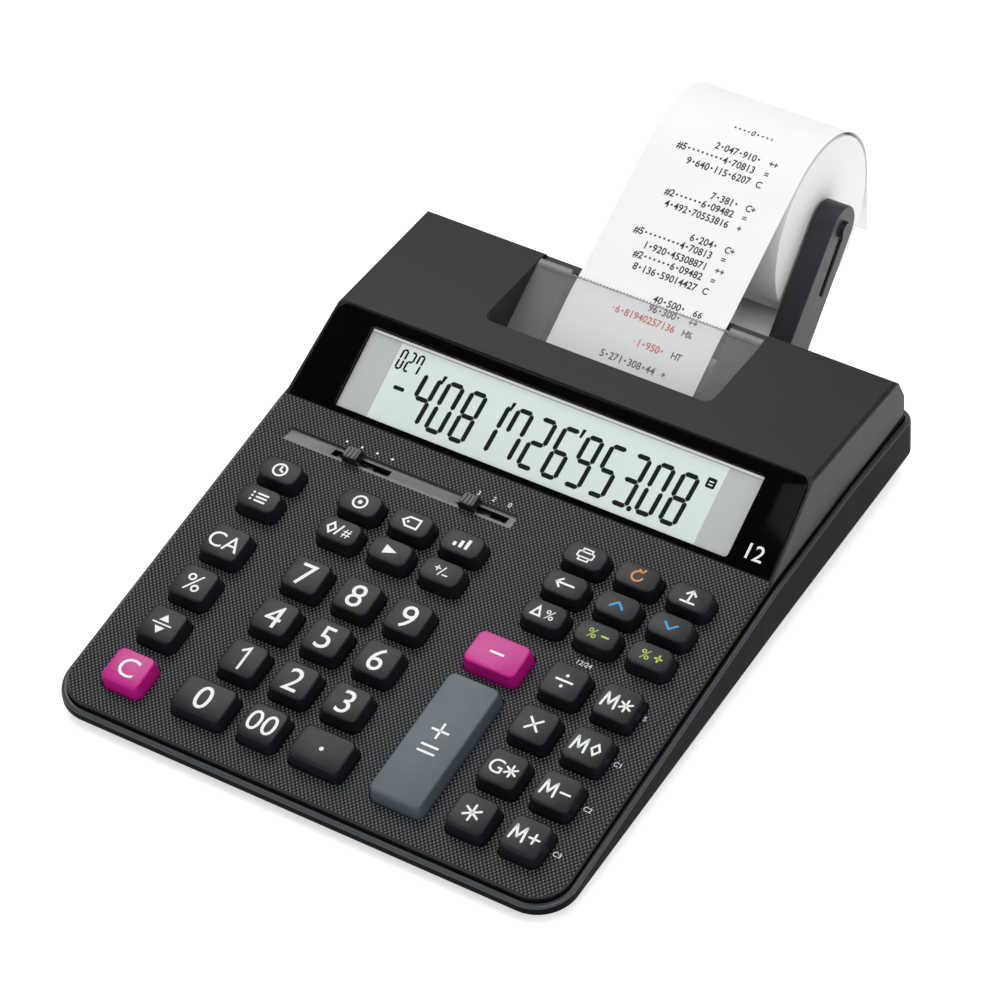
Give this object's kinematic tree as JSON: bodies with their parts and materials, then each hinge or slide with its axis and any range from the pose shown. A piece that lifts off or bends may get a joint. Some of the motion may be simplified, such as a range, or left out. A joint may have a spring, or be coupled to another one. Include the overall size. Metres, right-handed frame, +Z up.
{
  "type": "printing desk calculator",
  "caption": "Low wedge-shaped printing desk calculator with a tilted display, sprung keys, slide switches, a printer well and a paper roll on a rear holder.",
  "frame": {"origin": "middle of the bounding box, on the table under the rubber feet", "axes": "+X to the user's right, +Y away from the user towards the paper roll, +Z up"},
  "size_m": [0.193, 0.326, 0.0697],
  "materials": {
    "case_upper": "fine-textured satin charcoal plastic",
    "case_lower": "fine-textured satin charcoal plastic",
    "lens": "polished black display lens",
    "lcd": "pale green-grey liquid crystal panel with black segments",
    "smoke_clear": "polished smoky clear plastic",
    "holder": "fine satin black plastic",
    "paper_roll": "matt white paper, wound",
    "paper": "matt white paper with black and red print",
    "board": "green circuit board",
    "key_mat": "grey silicone membrane",
    "steel": "zinc-plated pressed sheet",
    "platen": "ground black rubber on a steel shaft",
    "ink": "inked felt on a plastic core",
    "feet": "black rubber",
    "switch": "satin black plastic",
    "key_black": "satin black plastic with a printed symbol",
    "key_magenta": "satin magenta plastic with a printed symbol",
    "key_slate": "satin blue-grey plastic with a printed symbol"
  },
  "bodies": {
    "case": {"lower_case": "case_lower", "upper_case": "case_upper", "display_window": "lens", "lcd_module": "lcd", "roll_holder": "holder", "paper_strip": "paper", "main_board": "board", "key_mat": "key_mat", "printer_frame": "steel", "rubber_feet": "feet"},
    "switch_mode": {"switch_mode": "switch"},
    "switch_rounding": {"switch_rounding": "switch"},
    "paper_roll": {"paper_roll": "paper_roll"},
    "platen_roller": {"platen_roller": "platen"},
    "ink_roller": {"ink_roller": "ink"},
    "battery_cover": {"battery_cover": "case_lower"},
    "printer_cover": {"printer_cover": "smoke_clear"},
    "key_c": {"key_c": "key_magenta"},
    "key_mu_md": {"key_mu_md": "key_black"},
    "key_percent": {"key_percent": "key_black"},
    "key_ca": {"key_ca": "key_black"},
    "key_it": {"key_it": "key_black"},
    "key_time": {"key_time": "key_black"},
    "key_0": {"key_0": "key_black"},
    "key_00": {"key_00": "key_black"},
    "key_point": {"key_point": "key_black"},
    "key_1": {"key_1": "key_black"},
    "key_2": {"key_2": "key_black"},
    "key_3": {"key_3": "key_black"},
    "key_4": {"key_4": "key_black"},
    "key_5": {"key_5": "key_black"},
    "key_6": {"key_6": "key_black"},
    "key_7": {"key_7": "key_black"},
    "key_8": {"key_8": "key_black"},
    "key_9": {"key_9": "key_black"},
    "key_diamond": {"key_diamond": "key_black"},
    "key_shift": {"key_shift": "key_black"},
    "key_sign": {"key_sign": "key_black"},
    "key_cost": {"key_cost": "key_black"},
    "key_sell": {"key_sell": "key_black"},
    "key_margin": {"key_margin": "key_black"},
    "key_delta": {"key_delta": "key_black"},
    "key_tax_minus": {"key_tax_minus": "key_black"},
    "key_tax_plus": {"key_tax_plus": "key_black"},
    "key_correct": {"key_correct": "key_black"},
    "key_up": {"key_up": "key_black"},
    "key_down": {"key_down": "key_black"},
    "key_print": {"key_print": "key_black"},
    "key_reprint": {"key_reprint": "key_black"},
    "key_feed": {"key_feed": "key_black"},
    "key_plus_equals": {"key_plus_equals": "key_slate"},
    "key_minus": {"key_minus": "key_magenta"},
    "key_total": {"key_total": "key_black"},
    "key_m_plus": {"key_m_plus": "key_black"},
    "key_grand_total": {"key_grand_total": "key_black"},
    "key_m_minus": {"key_m_minus": "key_black"},
    "key_times": {"key_times": "key_black"},
    "key_m_subtotal": {"key_m_subtotal": "key_black"},
    "key_divide": {"key_divide": "key_black"},
    "key_m_total": {"key_m_total": "key_black"}
  },
  "joints": [
    {"name": "mode_slide", "type": "slide", "parent": "case", "child": "switch_mode", "axis": [1, 0, 0], "range_m": [-0.006, 0.012]},
    {"name": "rounding_slide", "type": "slide", "parent": "case", "child": "switch_rounding", "axis": [1, 0, 0], "range_m": [0, 0.012]},
    {"name": "paper_roll_spin", "type": "hinge", "parent": "case", "child": "paper_roll", "pos_m": [0, 0.1291, 0.0358], "axis": [1, 0, 0], "continuous": true},
    {"name": "platen_spin", "type": "hinge", "parent": "case", "child": "platen_roller", "pos_m": [0, 0.0413, 0.0221], "axis": [1, 0, 0], "continuous": true},
    {"name": "ink_roller_spin", "type": "hinge", "parent": "case", "child": "ink_roller", "pos_m": [0, 0.0283, 0.0135], "axis": [1, 0, 0], "continuous": true},
    {"name": "battery_cover_slide", "type": "slide", "parent": "case", "child": "battery_cover", "axis": [0, -1, 0], "range_m": [0, 0.035]},
    {"name": "printer_cover_lift", "type": "slide", "parent": "case", "child": "printer_cover", "axis": [0, 0, 1], "range_m": [0, 0.03]},
    {"name": "press_c", "type": "slide", "parent": "case", "child": "key_c", "axis": [0, 0.1208, -0.9927], "range_m": [0, 0.0028], "stiffness_N_per_m": 150, "springref_m": -0.002},
    {"name": "press_mu_md", "type": "slide", "parent": "case", "child": "key_mu_md", "axis": [0, 0.1208, -0.9927], "range_m": [0, 0.0028], "stiffness_N_per_m": 150, "springref_m": -0.002},
    {"name": "press_percent", "type": "slide", "parent": "case", "child": "key_percent", "axis": [0, 0.1208, -0.9927], "range_m": [0, 0.0028], "stiffness_N_per_m": 150, "springref_m": -0.002},
    {"name": "press_ca", "type": "slide", "parent": "case", "child": "key_ca", "axis": [0, 0.1208, -0.9927], "range_m": [0, 0.0028], "stiffness_N_per_m": 150, "springref_m": -0.002},
    {"name": "press_it", "type": "slide", "parent": "case", "child": "key_it", "axis": [0, 0.1208, -0.9927], "range_m": [0, 0.0028], "stiffness_N_per_m": 150, "springref_m": -0.002},
    {"name": "press_time", "type": "slide", "parent": "case", "child": "key_time", "axis": [0, 0.1208, -0.9927], "range_m": [0, 0.0028], "stiffness_N_per_m": 150, "springref_m": -0.002},
    {"name": "press_0", "type": "slide", "parent": "case", "child": "key_0", "axis": [0, 0.1208, -0.9927], "range_m": [0, 0.0028], "stiffness_N_per_m": 150, "springref_m": -0.002},
    {"name": "press_00", "type": "slide", "parent": "case", "child": "key_00", "axis": [0, 0.1208, -0.9927], "range_m": [0, 0.0028], "stiffness_N_per_m": 150, "springref_m": -0.002},
    {"name": "press_point", "type": "slide", "parent": "case", "child": "key_point", "axis": [0, 0.1208, -0.9927], "range_m": [0, 0.0028], "stiffness_N_per_m": 150, "springref_m": -0.002},
    {"name": "press_1", "type": "slide", "parent": "case", "child": "key_1", "axis": [0, 0.1208, -0.9927], "range_m": [0, 0.0028], "stiffness_N_per_m": 150, "springref_m": -0.002},
    {"name": "press_2", "type": "slide", "parent": "case", "child": "key_2", "axis": [0, 0.1208, -0.9927], "range_m": [0, 0.0028], "stiffness_N_per_m": 150, "springref_m": -0.002},
    {"name": "press_3", "type": "slide", "parent": "case", "child": "key_3", "axis": [0, 0.1208, -0.9927], "range_m": [0, 0.0028], "stiffness_N_per_m": 150, "springref_m": -0.002},
    {"name": "press_4", "type": "slide", "parent": "case", "child": "key_4", "axis": [0, 0.1208, -0.9927], "range_m": [0, 0.0028], "stiffness_N_per_m": 150, "springref_m": -0.002},
    {"name": "press_5", "type": "slide", "parent": "case", "child": "key_5", "axis": [0, 0.1208, -0.9927], "range_m": [0, 0.0028], "stiffness_N_per_m": 150, "springref_m": -0.002},
    {"name": "press_6", "type": "slide", "parent": "case", "child": "key_6", "axis": [0, 0.1208, -0.9927], "range_m": [0, 0.0028], "stiffness_N_per_m": 150, "springref_m": -0.002},
    {"name": "press_7", "type": "slide", "parent": "case", "child": "key_7", "axis": [0, 0.1208, -0.9927], "range_m": [0, 0.0028], "stiffness_N_per_m": 150, "springref_m": -0.002},
    {"name": "press_8", "type": "slide", "parent": "case", "child": "key_8", "axis": [0, 0.1208, -0.9927], "range_m": [0, 0.0028], "stiffness_N_per_m": 150, "springref_m": -0.002},
    {"name": "press_9", "type": "slide", "parent": "case", "child": "key_9", "axis": [0, 0.1208, -0.9927], "range_m": [0, 0.0028], "stiffness_N_per_m": 150, "springref_m": -0.002},
    {"name": "press_diamond", "type": "slide", "parent": "case", "child": "key_diamond", "axis": [0, 0.1208, -0.9927], "range_m": [0, 0.0028], "stiffness_N_per_m": 150, "springref_m": -0.002},
    {"name": "press_shift", "type": "slide", "parent": "case", "child": "key_shift", "axis": [0, 0.1208, -0.9927], "range_m": [0, 0.0028], "stiffness_N_per_m": 150, "springref_m": -0.002},
    {"name": "press_sign", "type": "slide", "parent": "case", "child": "key_sign", "axis": [0, 0.1208, -0.9927], "range_m": [0, 0.0028], "stiffness_N_per_m": 150, "springref_m": -0.002},
    {"name": "press_cost", "type": "slide", "parent": "case", "child": "key_cost", "axis": [0, 0.1208, -0.9927], "range_m": [0, 0.0028], "stiffness_N_per_m": 150, "springref_m": -0.002},
    {"name": "press_sell", "type": "slide", "parent": "case", "child": "key_sell", "axis": [0, 0.1208, -0.9927], "range_m": [0, 0.0028], "stiffness_N_per_m": 150, "springref_m": -0.002},
    {"name": "press_margin", "type": "slide", "parent": "case", "child": "key_margin", "axis": [0, 0.1208, -0.9927], "range_m": [0, 0.0028], "stiffness_N_per_m": 150, "springref_m": -0.002},
    {"name": "press_delta", "type": "slide", "parent": "case", "child": "key_delta", "axis": [0, 0.1208, -0.9927], "range_m": [0, 0.0028], "stiffness_N_per_m": 150, "springref_m": -0.002},
    {"name": "press_tax_minus", "type": "slide", "parent": "case", "child": "key_tax_minus", "axis": [0, 0.1208, -0.9927], "range_m": [0, 0.0028], "stiffness_N_per_m": 150, "springref_m": -0.002},
    {"name": "press_tax_plus", "type": "slide", "parent": "case", "child": "key_tax_plus", "axis": [0, 0.1208, -0.9927], "range_m": [0, 0.0028], "stiffness_N_per_m": 150, "springref_m": -0.002},
    {"name": "press_correct", "type": "slide", "parent": "case", "child": "key_correct", "axis": [0, 0.1208, -0.9927], "range_m": [0, 0.0028], "stiffness_N_per_m": 150, "springref_m": -0.002},
    {"name": "press_up", "type": "slide", "parent": "case", "child": "key_up", "axis": [0, 0.1208, -0.9927], "range_m": [0, 0.0028], "stiffness_N_per_m": 150, "springref_m": -0.002},
    {"name": "press_down", "type": "slide", "parent": "case", "child": "key_down", "axis": [0, 0.1208, -0.9927], "range_m": [0, 0.0028], "stiffness_N_per_m": 150, "springref_m": -0.002},
    {"name": "press_print", "type": "slide", "parent": "case", "child": "key_print", "axis": [0, 0.1208, -0.9927], "range_m": [0, 0.0028], "stiffness_N_per_m": 150, "springref_m": -0.002},
    {"name": "press_reprint", "type": "slide", "parent": "case", "child": "key_reprint", "axis": [0, 0.1208, -0.9927], "range_m": [0, 0.0028], "stiffness_N_per_m": 150, "springref_m": -0.002},
    {"name": "press_feed", "type": "slide", "parent": "case", "child": "key_feed", "axis": [0, 0.1208, -0.9927], "range_m": [0, 0.0028], "stiffness_N_per_m": 150, "springref_m": -0.002},
    {"name": "press_plus_equals", "type": "slide", "parent": "case", "child": "key_plus_equals", "axis": [0, 0.1208, -0.9927], "range_m": [0, 0.0028], "stiffness_N_per_m": 250, "springref_m": -0.002},
    {"name": "press_minus", "type": "slide", "parent": "case", "child": "key_minus", "axis": [0, 0.1208, -0.9927], "range_m": [0, 0.0028], "stiffness_N_per_m": 150, "springref_m": -0.002},
    {"name": "press_total", "type": "slide", "parent": "case", "child": "key_total", "axis": [0, 0.1208, -0.9927], "range_m": [0, 0.0028], "stiffness_N_per_m": 150, "springref_m": -0.002},
    {"name": "press_m_plus", "type": "slide", "parent": "case", "child": "key_m_plus", "axis": [0, 0.1208, -0.9927], "range_m": [0, 0.0028], "stiffness_N_per_m": 150, "springref_m": -0.002},
    {"name": "press_grand_total", "type": "slide", "parent": "case", "child": "key_grand_total", "axis": [0, 0.1208, -0.9927], "range_m": [0, 0.0028], "stiffness_N_per_m": 150, "springref_m": -0.002},
    {"name": "press_m_minus", "type": "slide", "parent": "case", "child": "key_m_minus", "axis": [0, 0.1208, -0.9927], "range_m": [0, 0.0028], "stiffness_N_per_m": 150, "springref_m": -0.002},
    {"name": "press_times", "type": "slide", "parent": "case", "child": "key_times", "axis": [0, 0.1208, -0.9927], "range_m": [0, 0.0028], "stiffness_N_per_m": 150, "springref_m": -0.002},
    {"name": "press_m_subtotal", "type": "slide", "parent": "case", "child": "key_m_subtotal", "axis": [0, 0.1208, -0.9927], "range_m": [0, 0.0028], "stiffness_N_per_m": 150, "springref_m": -0.002},
    {"name": "press_divide", "type": "slide", "parent": "case", "child": "key_divide", "axis": [0, 0.1208, -0.9927], "range_m": [0, 0.0028], "stiffness_N_per_m": 150, "springref_m": -0.002},
    {"name": "press_m_total", "type": "slide", "parent": "case", "child": "key_m_total", "axis": [0, 0.1208, -0.9927], "range_m": [0, 0.0028], "stiffness_N_per_m": 150, "springref_m": -0.002}
  ],
  "couplings": [
    {"joint": "platen_spin", "follows": "paper_roll_spin", "ratio": 5.124}
  ]
}
